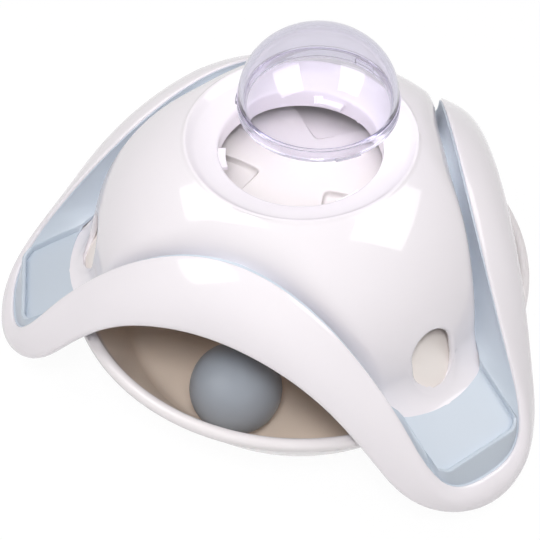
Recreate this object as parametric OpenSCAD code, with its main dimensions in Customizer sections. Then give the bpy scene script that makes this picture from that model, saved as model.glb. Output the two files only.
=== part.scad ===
// Cat food dispenser toy: a three-lobed hopper on a round-bottomed bowl with a loose ball.
// Millimetres. Origin at the middle of the flat foot, +Z up, one lobe pointing along -Y.

/* [Lobed plan] */
// Distance from the axis to the brim's inner edge at the middle of an arch
brim_mid_r = 60.8; // [56:0.2:64]
// Radius of the hollow side of the brim's inner edge
brim_side_r = 248; // [200:4:320]
// Distance from the axis to the tip of the brim's inner edge before its front flattens it
brim_tip_r = 124.2; // [121:0.2:127]
// Distance from the axis to the flattened front of the brim's inner edge
brim_front_r = 121.3; // [118:0.1:123]
// Distance from the axis to the skirt's lower edge at the middle of an arch
skirt_mid_r = 80.9; // [76:0.1:86]
// Radius of the hollow side of the skirt's lower edge
skirt_side_r = 940; // [600:20:1400]
// Distance from the axis to the skirt's lower edge at a lobe's tip
skirt_tip_r = 126.5; // [124:0.1:132]
// Distance from the axis to the dome's side wall at the middle of an arch
dome_mid_r = 57.4; // [53:0.2:58]
// Radius of the hollow side of the dome's outline
dome_side_r = 340; // [260:10:500]
// Distance from the axis to the tip of the dome's outline before its foot cuts it
dome_tip_r = 103; // [99:0.5:107]

/* [Brim and skirt] */
// Height of the brim's inner edge at the middle of an arch
brim_mid_z = 107.2; // [103:0.1:111]
// Height of the brim's inner edge at a lobe's tip
brim_tip_z = 28.9; // [26:0.1:33]
// Radius of the arc that the brim's height follows outwards
brim_crown_r = 317; // [200:1:400]
// Height of the skirt's lower edge at the middle of an arch
skirt_mid_z = 85.6; // [80:0.2:90]
// Height of the skirt's lower edge at a lobe's tip
skirt_tip_z = 23.4; // [18:0.2:26]
// Depth of the easing in the skirt's lower edge between arch and tip
skirt_ease = 2.6; // [0:0.1:4]
// Upright thickness of the skirt
skirt_t = 3.4; // [2.4:0.1:4.5]
// Outward swell of the skirt's face over an arch
skirt_swell = 3.2; // [0:0.1:4.5]
// Outward swell of the skirt's face at a lobe's tip
tip_swell = 1.8; // [0:0.1:3]
// Rounding of the skirt's edges
skirt_edge = 0.8; // [0.4:0.1:1.1]

/* [Track] */
// Wall of the grey track
track_t = 1.6; // [1.2:0.1:2.2]
// Depth of the track below the brim
track_depth = 10; // [7:0.5:13]
// Height of a pocket's floor at the dome's foot
pocket_z = 50.8; // [50.2:0.1:52]
// Drop of a pocket's floor for each millimetre outwards
pocket_fall = 0.5; // [0.4:0.02:0.56]
// Distance from the axis to a pocket's front lip
pocket_front = 115.2; // [111:0.2:116]
// Half of a pocket's width
pocket_half_w = 19.8; // [16:0.1:21]
// Height of the lip round a pocket
pocket_lip = 1.6; // [0.8:0.1:2.4]

/* [Dome] */
// Radius of the dome's outer arc
dome_r = 67.3; // [65:0.1:70]
// Height of the centre of the dome's arc
dome_arc_z = 55.5; // [53:0.1:58]
// Wall of the dome
dome_t = 2.4; // [1.8:0.1:3]
// Reach of the dome's round foot past the bowl's rim
foot_reach = 0.9; // [0.5:0.1:2]
// Reach of the foot past the dome's widest circle
foot_out = 10.8; // [9:0.1:12]
// Radius of the hollow curve above the foot
foot_flare = 20; // [16:0.5:26]
// Height of the lower edge of the dome's side walls
dome_wall_z = 56.5; // [55:0.5:58]
// Distance from the axis past which the side walls reach down to the rim
wall_low_r = 76; // [74:0.5:80]
// Radius of the collar's ridge
collar_r = 45; // [43:0.2:48]
// Drop of the dished collar from its ridge to the filling hole
collar_drop = 4.6; // [3:0.1:6]
// Radius of the filling hole
hole_r = 31.65; // [31.4:0.05:33]
// Length of the neck below the filling hole
neck_h = 9; // [7:0.5:12]
// Wall of the neck
neck_t = 2; // [1.6:0.1:2.6]
// Inward reach of the neck's three locking ribs
rib_reach = 3; // [2.4:0.1:4]
// Depth of the ribs' tops below the filling hole's edge
rib_drop = 3.4; // [3:0.1:3.6]
// Thickness of the neck's ribs
rib_h = 1.8; // [1.4:0.1:2.4]

/* [Outlets] */
// Height of the middle of a food outlet
outlet_z = 67.5; // [66:0.5:70]
// Width of a food outlet
outlet_w = 18; // [15:0.5:20]
// Height of a food outlet
outlet_h = 24; // [22:0.5:26]

/* [Hopper floor] */
// Height of the spreader's peak
peak_z = 92; // [88:0.5:95]
// Height of the floor at its rim
floor_rim_z = 56.5; // [55:0.1:58]
// Radius of the floor at the lobes
floor_r = 84.6; // [83:0.1:84.8]
// Thickness of the floor
floor_t = 2.2; // [1.6:0.1:2.8]
// Solid thickness at the spreader's peak, above the post's socket
crown_t = 7.2; // [6:0.1:9]
// Wall of the post's socket
socket_t = 3; // [2:0.1:4]
// Depth of the post's socket
socket_h = 4; // [3:0.5:8]
// Height of the spreader's three-armed top at the axis
hub_z = 101.5; // [98:0.5:103]
// Radius of the top's gentle crown
hub_crown_r = 150; // [110:5:220]
// Distance from the axis to the round point of the notch over each outlet
notch_r = 16.5; // [15:0.5:20]
// Half of a notch's opening angle, in degrees
notch_half = 42; // [36:1:48]
// Rounding of a notch's point
notch_round = 4; // [2:0.5:6]

/* [Bowl] */
// Inner radius of the bowl's rim
rim_in_r = 90; // [88:0.5:91]
// Width of the bowl's rolled rim
rim_w = 4.8; // [3.5:0.1:6]
// Height of the bowl's rim
rim_z = 49.6; // [48.6:0.1:49.9]
// Height of the rolled rim
rim_h = 4.4; // [3:0.1:6]
// Radius where the sloping wall turns into the bottom
turn_r = 73; // [68:0.5:78]
// Height where the sloping wall turns into the bottom
turn_z = 12.5; // [11:0.5:14]
// Height of the bowl's floor
bowl_floor_z = 12.5; // [12:0.1:14]
// Wall of the bowl, measured upright
bowl_t = 3; // [2.4:0.1:4]
// Radius of the flat foot
foot_flat_r = 38; // [36:0.5:42]

/* [Ball] */
// Diameter of the ball
ball_d = 37; // [34:0.5:38]
// Direction of the ball from the axis, in degrees
ball_az = -151; // [-180:1:180]

/* [Weight and fasteners] */
// Radius of the weight's chamber
chamber_r = 33; // [31:0.5:34]
// Height of the chamber's roof
chamber_z = 9.8; // [9.2:0.1:10]
// Thickness of the counterweight
weight_h = 6; // [4:0.1:6.4]
// Thickness of the base cover
cover_t = 2.8; // [2.2:0.1:3]
// Radius of the centre post
post_r = 11; // [9:0.5:13]
// Wall of the centre post
post_t = 2.6; // [2:0.1:3.2]
// Diameter of the tie bolt
bolt_d = 4; // [3:0.5:5]
// Height of the tie bolt's head
bolt_head_h = 3; // [2:0.1:4]
// Length of the tie bolt in the spreader
bolt_bite = 3; // [2:0.5:5]
// Diameter of the base screws
screw_d = 2.6; // [2:0.1:3]
// Distance of the base screws from the axis
screw_ring = 25; // [22:0.5:26]
// Length of the base screws in their bosses
screw_bite = 5; // [4:0.1:5.6]
// Height of the base screws' heads
screw_head_h = 1.2; // [0.8:0.1:1.6]
// Depth of the base screws' heads below the cover
head_sink = 0.4; // [0.2:0.1:0.8]
// Length of the cross recess in a base screw's head
recess_l = 3; // [2:0.1:4]
// Width of the cross recess
recess_w = 0.7; // [0.5:0.1:1]
// Depth of the cross recess
recess_h = 0.8; // [0.4:0.1:1]
// Wall of the screw bosses
boss_t = 2.2; // [1.6:0.1:2.6]

/* [Cap] */
// Outer radius of the clear cap
cap_r = 29.6; // [28.6:0.1:29.8]
// Wall of the clear cap
cap_t = 2; // [1.4:0.1:2.6]
// Height of the band below the cap's dome
cap_band = 5; // [3:0.1:6]
// Height of the cap's dome above its band
cap_rise = 25; // [20:0.5:30]
// Thickness of the cap's three lugs
lug_h = 1.6; // [1.2:0.1:2]
// Outward reach of the cap's three lugs
lug_reach = 1; // [0.6:0.1:1.1]
// Turn of the cap's lugs from the lobes, in degrees
lug_turn = -16; // [-60:1:60]
// Lift of the cap above its seat, as photographed
cap_lift = 23.7; // [20:0.1:30]
// Sideways offset of the lifted cap
cap_shift = 6.3; // [0:0.1:7.4]
// Direction of the sideways offset, in degrees
cap_shift_az = -38; // [-180:1:180]

/* [Hidden] */
$fn = 96;
// Clearances: between fixed pieces, and round moving ones
fit_gap = 0.35;
seat_gap = 0.2;
move_gap = 0.3;
thread_gap = 0.1;
hole_gap = 0.2;
// How far a cut runs past a face, and how far a fused piece reaches into its neighbour
over = 1;
root = 0.5;
tiny = 0.001;
// Bevel on the track's upper edges
lip_edge = 0.3;
lobes = 3;
lobe_step = 360 / lobes;
half_lobe = lobe_step / 2;
lobe_az = -90;
// Stations along half a lobe, crowded towards its tip, and steps across the skirt
half_stations = 32;
crowding = 1.45;
// Width over which the brim's sides round into its front
front_blend = 8;
// Place of the skirt's shoulder along its face, as a share
shoulder_at = 0.42;
skirt_steps = 6;
track_steps = 3;
// Steps along the dome's arc
dome_steps = 14;
flare_steps = 6;
hub_steps = 6;
notch_steps = 4;
rim_steps = 8;
turn_steps = 6;
big = 400;
white = "#f1ecee";
cream = "#f2eae6";
grey_blue = "#b4c1ca";
steel = "#8d9094";
// The bowl's rim, and the dome's foot just past it
rim_out_r = rim_in_r + rim_w;
foot_r = rim_out_r + foot_reach;
// Centre of the dome's arc, and of the hollow arc that runs from it to the foot
dome_arc_x = foot_r - foot_out - dome_r;
foot_at = [foot_r - dome_arc_x, pocket_z - dome_arc_z];
flare_far = dome_r + foot_flare;
flare_along = (pow(flare_far, 2) - pow(foot_flare, 2) + pow(norm(foot_at), 2)) / (2 * norm(foot_at));
flare_aside = sqrt(pow(flare_far, 2) - pow(flare_along, 2));
flare_off = (foot_at * flare_along + [-foot_at.y, foot_at.x] * flare_aside) / norm(foot_at);
// Directions of a pocket's corners, and stations round the toy that meet them
pocket_corners = [atan(pocket_half_w / pocket_front), asin(pocket_half_w / foot_r)];
half_folds = [for (i = [0 : half_stations]) let (
    base = half_lobe * pow(i / half_stations, crowding),
    reach = half_lobe * crowding * pow(max(i, 1) / half_stations, crowding - 1) / half_stations / 2,
    near = [for (c = pocket_corners) if (abs(base - c) < reach) c])
    len(near) > 0 ? near[0] : base];
stations = [for (k = [0 : lobes - 1], i = [-half_stations : half_stations - 1])
    lobe_az + lobe_step * k + sign(i) * half_folds[abs(i)]];
// Heights of the collar
collar_z = dome_arc_z + sqrt(pow(dome_r, 2) - pow(collar_r - dome_arc_x, 2));
hole_z = collar_z - collar_drop;
rib_top_z = hole_z - rib_drop;
// The cap's seat on the neck's ribs, and its photographed place
cap_seat_z = rib_top_z + seat_gap;
cap_z = cap_seat_z + cap_lift;
lug_arc = 24;
rib_arc = 20;
// The ball lies on the bowl's floor against its sloping wall
ball_r = ball_d / 2;
ball_z = bowl_floor_z + ball_r + move_gap;
wall_run = rim_in_r - turn_r;
wall_rise = rim_z - rim_h - turn_z - bowl_t;
wall_len = norm([wall_run, wall_rise]);
ball_ring = turn_r + ((ball_z - turn_z - bowl_t) * wall_run - (ball_r + move_gap) * wall_len) / wall_rise;
boss_r = screw_d / 2 + boss_t;
socket_z = peak_z - crown_t;
weight_z = chamber_z - seat_gap - weight_h;

// Angle from the nearest lobe's tip, 0 to half_lobe
function fold(a) = let (m = ((a - lobe_az) % lobe_step + lobe_step) % lobe_step)
    m > half_lobe ? lobe_step - m : m;
// Radius of the round tip that is tangent to two hollow sides
function tip_round(n, side, tip) = let (far = n + side)
    (tip * tip - far * tip + far * far - side * side) / (2 * side + 2 * tip - far);
// Point where a tip's round meets the side, with the tip along +X
function tip_tangent(n, side, tip) = let (
    round_r = tip_round(n, side, tip),
    centre = [tip - round_r, 0],
    side_centre = (n + side) * [cos(half_lobe), sin(half_lobe)])
    centre + (side_centre - centre) * round_r / (side + round_r);
// Distance from the axis to a lobed outline in direction a
function lobed_r(n, side, tip, a) = let (
    f = fold(a),
    tangent = tip_tangent(n, side, tip),
    round_r = tip_round(n, side, tip),
    centre = tip - round_r,
    far = n + side)
    f < atan2(tangent.y, tangent.x)
        ? centre * cos(f) + sqrt(pow(round_r, 2) - pow(centre * sin(f), 2))
        : far * cos(half_lobe - f) - sqrt(pow(side, 2) - pow(far * sin(half_lobe - f), 2));
// The lesser of two values, with a round of width k where they meet
function soft_min(a, b, k) = let (near = max(k - abs(a - b), 0) / k) min(a, b) - near * near * k / 4;
function brim_r(a) = soft_min(
    lobed_r(brim_mid_r, brim_side_r, brim_tip_r, a), brim_front_r / cos(fold(a)), front_blend);
function skirt_r(a) = lobed_r(skirt_mid_r, skirt_side_r, skirt_tip_r, a);
function dome_plan_r(a) = min(lobed_r(dome_mid_r, dome_side_r, dome_tip_r, a), foot_r);
// Height of the brim's inner edge: an arc through its two end heights
brim_chord = [brim_tip_r - brim_mid_r, brim_tip_z - brim_mid_z];
brim_arc = [brim_mid_r + brim_tip_r, brim_mid_z + brim_tip_z] / 2
    + [brim_chord.y, -brim_chord.x] / norm(brim_chord)
    * sqrt(pow(brim_crown_r, 2) - pow(norm(brim_chord) / 2, 2));
function brim_z(r) = brim_arc.y + sqrt(pow(brim_crown_r, 2) - pow(r - brim_arc.x, 2));
// Height of the skirt's lower edge: a fall with an easing wave
function skirt_z(r) = let (u = (r - skirt_mid_r) / (skirt_tip_r - skirt_mid_r))
    skirt_mid_z + (skirt_tip_z - skirt_mid_z) * u + skirt_ease * sin(360 * u);
// Height of the pocket's sloping floor at distance x along a lobe
function pocket_floor(x) = pocket_z - pocket_fall * (x - foot_r);

// A closed ring through one section for each station; a section is a list of [radius, height]
module ring_loft(sections) {
    count = len(sections);
    size = len(sections[0]);
    points = [for (k = [0 : count - 1], p = sections[k])
        [p[0] * cos(stations[k]), p[0] * sin(stations[k]), p[1]]];
    faces = [for (k = [0 : count - 1], j = [0 : size - 1], half = [0, 1]) let (
        next = (k + 1) % count,
        up = (j + 1) % size)
        half == 0 ? [k * size + j, k * size + up, next * size + up]
                  : [k * size + j, next * size + up, next * size + j]];
    polyhedron(points, faces);
}

module lobed_tips() {
    for (k = [0 : lobes - 1]) rotate(lobe_az + lobe_step * k) children();
}

module clear_cap() {
    color("#e6e4f0", 0.4)
    translate([cap_shift * cos(cap_shift_az), cap_shift * sin(cap_shift_az), cap_z]) {
        rotate_extrude() difference() {
            cap_half(0);
            cap_half(cap_t);
        }
        lobed_tips() rotate(lug_turn - lug_arc / 2) rotate_extrude(angle = lug_arc)
            translate([cap_r - cap_t / 2, 0]) square([cap_t / 2 + lug_reach, lug_h]);
    }
}

// Half of the cap's section, shrunk for its hollow, which runs out below
module cap_half(inset) {
    r = cap_r - inset;
    low = inset > 0 ? -over : 0;
    intersection() {
        union() {
            translate([0, cap_band]) scale([1, (cap_rise - inset) / r]) circle(r = r);
            translate([0, low]) square([r, cap_band - low]);
        }
        translate([0, low]) square(big);
    }
}

// Outline of the dome's outer face, from the collar's ridge to the flared foot
function dome_profile(inset) = let (
    r = dome_r - inset,
    flare = foot_flare + inset,
    first = acos((collar_r - dome_arc_x) / dome_r),
    last = atan2(flare_off.y, flare_off.x),
    foot = 360 + atan2(foot_at.y - flare_off.y, foot_at.x - flare_off.x),
    middle = [dome_arc_x, dome_arc_z])
    concat(
        [for (i = [0 : dome_steps]) let (t = first + (last - first) * i / dome_steps)
            middle + r * [cos(t), sin(t)]],
        [for (i = [1 : flare_steps]) let (t = 180 + last + (foot - 180 - last) * i / flare_steps)
            middle + flare_off + flare * [cos(t), sin(t)]]);

module hopper_dome() {
    outer = dome_profile(0);
    inner = dome_profile(dome_t);
    color(white) difference() {
        union() {
            // The domed roof with its dished collar and neck
            intersection() {
                rotate_extrude() polygon(concat(
                    [[hole_r, hole_z]],
                    outer,
                    [for (i = [len(inner) - 1 : -1 : 0]) inner[i]],
                    [[hole_r + neck_t, hole_z - dome_t], [hole_r + neck_t, hole_z - neck_h],
                     [hole_r, hole_z - neck_h]]));
                dome_outline(0);
            }
            // Side walls that close the hopper over the arches
            intersection() {
                difference() {
                    dome_outline(0);
                    translate([0, 0, -over]) dome_outline(-dome_t);
                }
                rotate_extrude() polygon(concat(
                    [[0, dome_wall_z], [0, hole_z - neck_h]],
                    [for (i = [0 : dome_steps]) inner[i]],
                    [[floor_r + fit_gap, dome_wall_z], [foot_r - dome_t, rim_z],
                     [wall_low_r, rim_z], [wall_low_r, dome_wall_z]]));
            }
            // Three locking ribs in the neck
            lobed_tips() rotate(-rib_arc / 2) rotate_extrude(angle = rib_arc)
                translate([hole_r - rib_reach, rib_top_z - rib_h]) square([rib_reach + neck_t / 2, rib_h]);
        }
        lobed_tips() outlet_cut();
        // Flat seat of the foot on the bowl's rim
        cylinder(r = big, h = rim_z + seat_gap);
    }
}

// Upright prism of the dome's outline, grown or shrunk all round
module dome_outline(grow) {
    linear_extrude(big) polygon([for (a = stations)
        min(lobed_r(dome_mid_r + grow, dome_side_r - grow, dome_tip_r + grow, a), foot_r + grow)
            * [cos(a), sin(a)]]);
}

// Upright oval that pierces the dome's nose
module outlet_cut() {
    flat = (outlet_h - outlet_w) / 2;
    translate([dome_arc_x, 0, outlet_z]) rotate([0, 90, 0]) {
        for (s = [-1, 1]) translate([s * flat, 0, 0]) cylinder(d = outlet_w, h = big);
        translate([-flat, -outlet_w / 2, 0]) cube([2 * flat, outlet_w, big]);
    }
}

module outer_skirt() {
    color(white) ring_loft([for (a = stations) let (
        from = [brim_r(a), brim_z(brim_r(a))],
        to = [skirt_r(a), skirt_z(skirt_r(a))],
        along = (to - from) / norm(to - from),
        swell = tip_swell + (skirt_swell - tip_swell) * fold(a) / half_lobe,
        shoulder = from + (to - from) * shoulder_at + 2 * swell * [-along.y, along.x],
        face = [for (i = [0 : skirt_steps]) let (u = i / skirt_steps)
            from * pow(1 - u, 2) + shoulder * 2 * u * (1 - u) + to * pow(u, 2)],
        under = [for (p = face) p - [0, skirt_t]])
        concat(
            [from - [0, skirt_edge]], [from + skirt_edge * along],
            [for (i = [1 : skirt_steps - 1]) face[i]],
            [to - skirt_edge * along], [to - [0, skirt_edge]],
            [for (i = [skirt_steps : -1 : 0]) under[i]])]);
}

// Section of the track: a hollow slope from the brim down to the dome, and at a lobe's tip
// a pocket with a raised lip
function track_section(a) = let (
    f = fold(a),
    wall_r = brim_r(a) - fit_gap,
    wall_z = brim_z(brim_r(a)) - seat_gap,
    inner = dome_plan_r(a) + fit_gap,
    edge = min(pocket_front / cos(f), pocket_half_w / max(sin(f), tiny), wall_r - 2 * track_t),
    pocket = edge > inner + track_t,
    lip = pocket ? edge : inner,
    lip_in = max(lip - track_t, inner),
    floor_in = pocket ? pocket_floor(inner * cos(f)) : pocket_floor(inner * cos(f)) + pocket_lip,
    low = pocket ? pocket_floor(lip * cos(f)) : max(wall_z - track_depth, floor_in),
    lip_z = pocket ? low + pocket_lip : low,
    start = pocket ? floor_in : low,
    hollow = [for (i = [1 : track_steps]) let (t = 90 * i / track_steps)
        [lip + (wall_r - track_t - lip) * sin(t), lip_z + (wall_z - lip_z) * (1 - cos(t))]])
    concat(
        [[inner, start], [lip_in, low], [lip_in, lip_z], [lip, lip_z]],
        hollow,
        [[wall_r, wall_z - lip_edge], [wall_r, min(wall_z, low) - 2 * track_t],
         [lip_in, low - track_t], [inner, start - track_t]]);

module track_liner() {
    color(grey_blue) ring_loft([for (a = stations) track_section(a)]);
}

// Round-pointed notch over an outlet, grown all round
module notch(grow) {
    round_r = notch_round + grow;
    run = round_r * [-sin(notch_half), cos(notch_half)] + big * [cos(notch_half), sin(notch_half)];
    point = round_r * [for (i = [-notch_steps : notch_steps])
        let (t = 180 - (90 - notch_half) * i / notch_steps) [cos(t), sin(t)]];
    translate([notch_r + notch_round, 0])
        polygon(concat([[run.x, -run.y]], point, [run]));
}

// The arms between the floor's slope and their crowned top, or the hollow inside them
module arms(inset) {
    low = floor_t + (inset > 0 ? over : 0);
    intersection() {
        linear_extrude(big) difference() {
            circle(r = dome_mid_r);
            lobed_tips() notch(inset);
        }
        rotate_extrude() polygon(concat(
            [[0, peak_z - low], [floor_r, floor_rim_z - low]],
            [for (i = [hub_steps : -1 : 0]) let (r = floor_r * i / hub_steps)
                [r, hub_z - inset - hub_crown_r + sqrt(pow(hub_crown_r, 2) - pow(r, 2))]]));
    }
}

module hopper_floor() {
    slope = (peak_z - floor_rim_z) / floor_r;
    socket_r = post_r + fit_gap;
    hub_r = socket_r + socket_t;
    color(white) difference() {
        intersection() {
            union() {
                rotate_extrude() polygon([
                    [0, peak_z], [floor_r, floor_rim_z], [floor_r, floor_rim_z - floor_t],
                    [hub_r, peak_z - hub_r * slope - floor_t], [hub_r, socket_z - socket_h],
                    [socket_r, socket_z - socket_h], [socket_r, socket_z], [0, socket_z]]);
                arms(0);
            }
            dome_outline(-dome_t - fit_gap);
        }
        // The arms are hollow and open below, round the post's socket
        difference() {
            intersection() {
                arms(floor_t);
                dome_outline(-dome_t - fit_gap - floor_t);
            }
            cylinder(r = hub_r, h = big);
        }
        translate([0, 0, socket_z - over])
            cylinder(d = bolt_d + thread_gap, h = bolt_bite + over + root);
    }
}

module centre_post() {
    color(white) translate([0, 0, bowl_floor_z + seat_gap]) difference() {
        cylinder(r = post_r, h = socket_z - bowl_floor_z - 2 * seat_gap);
        translate([0, 0, -over]) cylinder(r = post_r - post_t, h = big);
    }
}

module tie_bolt() {
    color(steel) {
        translate([0, 0, chamber_z - bolt_head_h]) cylinder(d = 2 * bolt_d, h = bolt_head_h - seat_gap);
        translate([0, 0, chamber_z - over])
            cylinder(d = bolt_d, h = socket_z + bolt_bite - chamber_z + over);
    }
}

module base_bowl() {
    rim_round = (rim_out_r - rim_in_r) / 2;
    turn_out = turn_r + bowl_t / 2;
    color(cream) difference() {
        union() {
            rotate_extrude() polygon(concat(
                [[0, chamber_z], [0, bowl_floor_z], [turn_r - bowl_t, bowl_floor_z],
                 [turn_r, turn_z + bowl_t], [rim_in_r, rim_z - rim_h]],
                [for (i = [0 : rim_steps]) let (t = 180 - 180 * i / rim_steps)
                    [rim_in_r + rim_round + rim_round * cos(t), rim_z - rim_round + rim_round * sin(t)]],
                [[rim_out_r, rim_z - rim_h], [rim_in_r + rim_round, rim_z - rim_h - root],
                 [turn_out, turn_z]],
                [for (i = [1 : turn_steps]) let (t = i / turn_steps)
                    [turn_out - (turn_out - foot_flat_r) * t, turn_z * pow(1 - t, 2)]],
                [[chamber_r, 0], [chamber_r, chamber_z]]));
            lobed_tips() translate([screw_ring, 0, cover_t + seat_gap])
                cylinder(r = boss_r, h = chamber_z + root - cover_t - seat_gap);
        }
        translate([0, 0, chamber_z - over]) cylinder(d = bolt_d + hole_gap, h = big);
        lobed_tips() translate([screw_ring, 0, 0])
            cylinder(d = screw_d + thread_gap, h = cover_t + screw_bite + root);
    }
}

module counterweight() {
    color(steel) translate([0, 0, weight_z]) difference() {
        cylinder(r = chamber_r - fit_gap, h = weight_h);
        translate([0, 0, -over]) cylinder(r = bolt_d + fit_gap, h = big);
        lobed_tips() translate([screw_ring, 0, -over]) cylinder(r = boss_r + fit_gap, h = big);
    }
}

module base_cover() {
    color(cream) difference() {
        cylinder(r = chamber_r - fit_gap, h = cover_t);
        lobed_tips() translate([screw_ring, 0, -over]) {
            cylinder(d = screw_d + hole_gap, h = big);
            cylinder(d = 2 * screw_d + 2 * hole_gap, h = over + head_sink + screw_head_h);
        }
    }
}

module base_screws() {
    color(steel) lobed_tips() translate([screw_ring, 0, head_sink]) difference() {
        union() {
            cylinder(d = 2 * screw_d, h = screw_head_h);
            cylinder(d = screw_d, h = cover_t + screw_bite - head_sink);
        }
        for (t = [0, 90]) rotate(t) translate([-recess_l / 2, -recess_w / 2, -over])
            cube([recess_l, recess_w, over + recess_h]);
    }
}

module track_ball() {
    color("#8fa0ab") rotate(ball_az) translate([ball_ring, 0, ball_z]) sphere(r = ball_r);
}

clear_cap();
hopper_dome();
outer_skirt();
track_liner();
hopper_floor();
centre_post();
tie_bolt();
base_bowl();
counterweight();
base_cover();
base_screws();
track_ball();
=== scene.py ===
import math

import bmesh
import bpy
from mathutils import Matrix, Vector


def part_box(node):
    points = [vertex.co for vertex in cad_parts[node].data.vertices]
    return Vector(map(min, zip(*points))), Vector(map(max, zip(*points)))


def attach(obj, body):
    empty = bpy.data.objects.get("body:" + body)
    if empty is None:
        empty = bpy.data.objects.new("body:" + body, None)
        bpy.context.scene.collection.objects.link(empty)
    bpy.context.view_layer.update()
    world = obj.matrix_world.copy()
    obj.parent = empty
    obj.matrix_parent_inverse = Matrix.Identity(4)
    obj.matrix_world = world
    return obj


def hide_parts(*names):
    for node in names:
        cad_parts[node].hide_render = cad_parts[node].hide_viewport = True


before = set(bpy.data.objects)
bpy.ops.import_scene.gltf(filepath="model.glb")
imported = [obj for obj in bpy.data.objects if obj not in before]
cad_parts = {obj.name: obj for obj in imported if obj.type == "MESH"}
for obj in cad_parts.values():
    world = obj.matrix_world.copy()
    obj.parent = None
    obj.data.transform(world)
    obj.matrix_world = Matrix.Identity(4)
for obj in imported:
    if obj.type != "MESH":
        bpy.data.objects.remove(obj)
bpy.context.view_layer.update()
mm = 0.001  # pieces are worked out in millimetres and laid in metres
print("frame loaded:", len(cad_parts), "nodes")

# camera at the photograph's place
shot = {
    "place": (-0.22941, -0.30443, 0.47781),
    "towards": (0.37827, 0.53683, -0.75414),
    "roll": -0.65,  # degrees
    "lens": 92.25,
    "sensor": 36.0,
}


def aimCamera():
    lens = bpy.data.cameras.new("photoCamera")
    lens.lens, lens.sensor_width = shot["lens"], shot["sensor"]
    camera = bpy.data.objects.new("photoCamera", lens)
    bpy.context.scene.collection.objects.link(camera)
    camera.rotation_mode = "QUATERNION"
    camera.location = shot["place"]
    forward = Vector(shot["towards"]).normalized()
    right = forward.cross(Vector((0, 0, 1))).normalized()
    up = right.cross(forward)
    roll = math.radians(shot["roll"])
    side = right * math.cos(roll) + up * math.sin(roll)
    above = up * math.cos(roll) - right * math.sin(roll)
    camera.rotation_quaternion = Matrix((side, above, -forward)).transposed().to_quaternion()
    bpy.context.scene.camera = camera


aimCamera()
bpy.context.scene.view_settings.view_transform = "Standard"


# finishes
def newFinish(name):
    finish = bpy.data.materials.new(name)
    finish.use_nodes = True
    shader = finish.node_tree.nodes["Principled BSDF"]
    return finish, finish.node_tree.nodes, finish.node_tree.links, shader


def rampBetween(nodes, links, value, stops, dark, pale):
    ramp = nodes.new("ShaderNodeValToRGB")
    for element, stop, colour in zip(ramp.color_ramp.elements, stops, (dark, pale)):
        element.position = stop
        element.color = (*colour, 1)
    links.new(value, ramp.inputs["Fac"])
    return ramp.outputs["Color"]


def spanBetween(nodes, links, value, ends, into=(0, 1)):
    span = nodes.new("ShaderNodeMapRange")
    span.inputs["From Min"].default_value, span.inputs["From Max"].default_value = ends
    span.inputs["To Min"].default_value, span.inputs["To Max"].default_value = into
    links.new(value, span.inputs["Value"])
    return span.outputs["Result"]


def joinValues(nodes, links, kind, first, second):
    join = nodes.new("ShaderNodeMath")
    join.operation = kind
    for value, socket in zip((first, second), join.inputs):
        if isinstance(value, float):
            socket.default_value = value
        else:
            links.new(value, socket)
    return join.outputs["Value"]


bumpDepth = 0.0001  # metres
driftStops = (0.35, 0.65)
driftDetail = 2


def addSkin(nodes, links, shader, coords, look):
    # fine skin of the mould, in the gloss and in the bump
    skin = nodes.new("ShaderNodeTexNoise")
    skin.inputs["Scale"].default_value = look["skinScale"]
    skin.inputs["Detail"].default_value = look["skinDetail"]
    links.new(coords.outputs["Object"], skin.inputs["Vector"])
    rough = spanBetween(nodes, links, skin.outputs["Fac"], (0, 1), look["rough"])
    links.new(rough, shader.inputs["Roughness"])
    bump = nodes.new("ShaderNodeBump")
    bump.inputs["Strength"].default_value = look["skinDepth"]
    bump.inputs["Distance"].default_value = bumpDepth
    links.new(skin.outputs["Fac"], bump.inputs["Height"])
    links.new(bump.outputs["Normal"], shader.inputs["Normal"])
    shader.inputs["IOR"].default_value = look["ior"]


def mouldedPlastic(name, look):
    finish, nodes, links, shader = newFinish(name)
    coords = nodes.new("ShaderNodeTexCoord")
    cloud = nodes.new("ShaderNodeTexNoise")  # slow drift of the moulding's colour
    cloud.inputs["Scale"].default_value = look["driftScale"]
    cloud.inputs["Detail"].default_value = driftDetail
    links.new(coords.outputs["Object"], cloud.inputs["Vector"])
    colour = rampBetween(nodes, links, cloud.outputs["Fac"], driftStops, look["shade"], look["tone"])
    links.new(colour, shader.inputs["Base Color"])
    addSkin(nodes, links, shader, coords, look)
    return finish


whiteLook = {
    "tone": (0.915, 0.872, 0.906), "shade": (0.903, 0.860, 0.894), "driftScale": 18,
    "skinScale": 900, "skinDetail": 3, "skinDepth": 0.02, "rough": (0.05, 0.08), "ior": 1.54,
}
greyBlueLook = {
    "tone": (0.580, 0.640, 0.715), "shade": (0.565, 0.625, 0.701), "driftScale": 22,
    "skinScale": 1100, "skinDetail": 3, "skinDepth": 0.12, "rough": (0.30, 0.42), "ior": 1.50,
}
ballLook = {
    "tone": (0.425, 0.465, 0.520), "shade": (0.410, 0.450, 0.504), "driftScale": 40,
    "skinScale": 1300, "skinDetail": 3, "skinDepth": 0.18, "rough": (0.36, 0.46), "ior": 1.50,
}
innerLook = {
    "tone": (0.900, 0.860, 0.840), "shade": (0.885, 0.845, 0.825), "driftScale": 25,
    "skinScale": 900, "skinDetail": 3, "skinDepth": 0.10, "rough": (0.22, 0.32), "ior": 1.50,
}
coverLook = {
    "tone": (0.800, 0.740, 0.700), "shade": (0.780, 0.720, 0.682), "driftScale": 25,
    "skinScale": 1500, "skinDetail": 3, "skinDepth": 0.30, "rough": (0.38, 0.52), "ior": 1.50,
}
whitePlastic = mouldedPlastic("whitePlastic", whiteLook)
greyBluePlastic = mouldedPlastic("greyBluePlastic", greyBlueLook)
ballPlastic = mouldedPlastic("ballPlastic", ballLook)
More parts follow.
